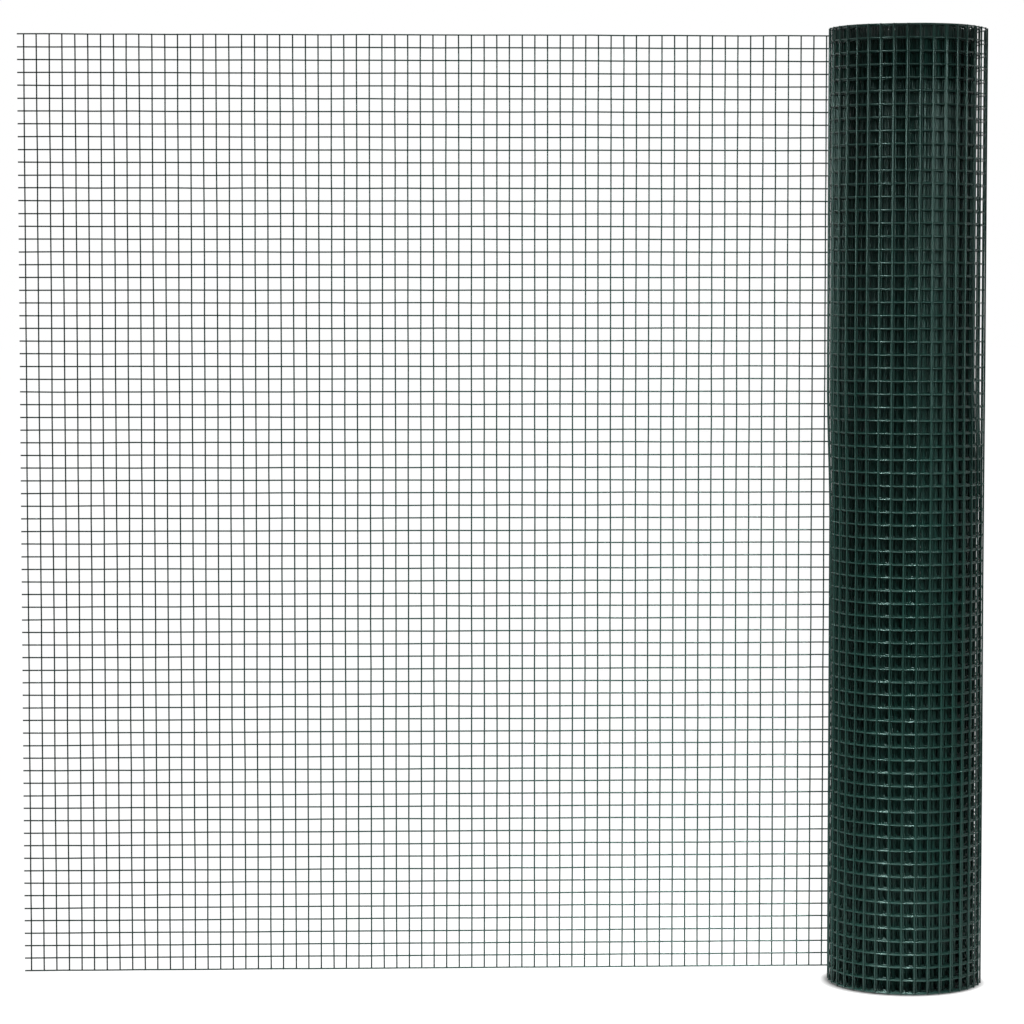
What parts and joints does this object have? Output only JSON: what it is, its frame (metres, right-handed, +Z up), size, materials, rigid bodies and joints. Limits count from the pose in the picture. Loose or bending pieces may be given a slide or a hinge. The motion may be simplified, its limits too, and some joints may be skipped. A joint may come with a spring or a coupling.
{
  "type": "roll of wire fencing",
  "caption": "Upright roll of green plastic-coated welded wire mesh with an open bore, and a flat length of the same mesh drawn off the back of the roll.",
  "frame": {"origin": "on the axis of the roll's bore, at the floor that the roll stands on", "axes": "+Z up along the axis of the roll, -X along the mesh that is drawn off the roll, +Y to the back of the roll, where the mesh leaves it"},
  "size_m": [1.0155, 0.1697, 1],
  "materials": {
    "green_coated_wire": "dark green PVC coating on steel wire, semi-gloss"
  },
  "bodies": {
    "root": {"wound_roll": "green_coated_wire", "unrolled_mesh_1_1": "green_coated_wire", "unrolled_mesh_1_2": "green_coated_wire", "unrolled_mesh_1_3": "green_coated_wire", "unrolled_mesh_1_4": "green_coated_wire", "unrolled_mesh_2_1": "green_coated_wire", "unrolled_mesh_2_2": "green_coated_wire", "unrolled_mesh_2_3": "green_coated_wire", "unrolled_mesh_2_4": "green_coated_wire", "unrolled_mesh_3_1": "green_coated_wire", "unrolled_mesh_3_2": "green_coated_wire", "unrolled_mesh_3_3": "green_coated_wire", "unrolled_mesh_3_4": "green_coated_wire", "unrolled_mesh_4_1": "green_coated_wire", "unrolled_mesh_4_2": "green_coated_wire", "unrolled_mesh_4_3": "green_coated_wire", "unrolled_mesh_4_4": "green_coated_wire"}
  },
  "joints": []
}
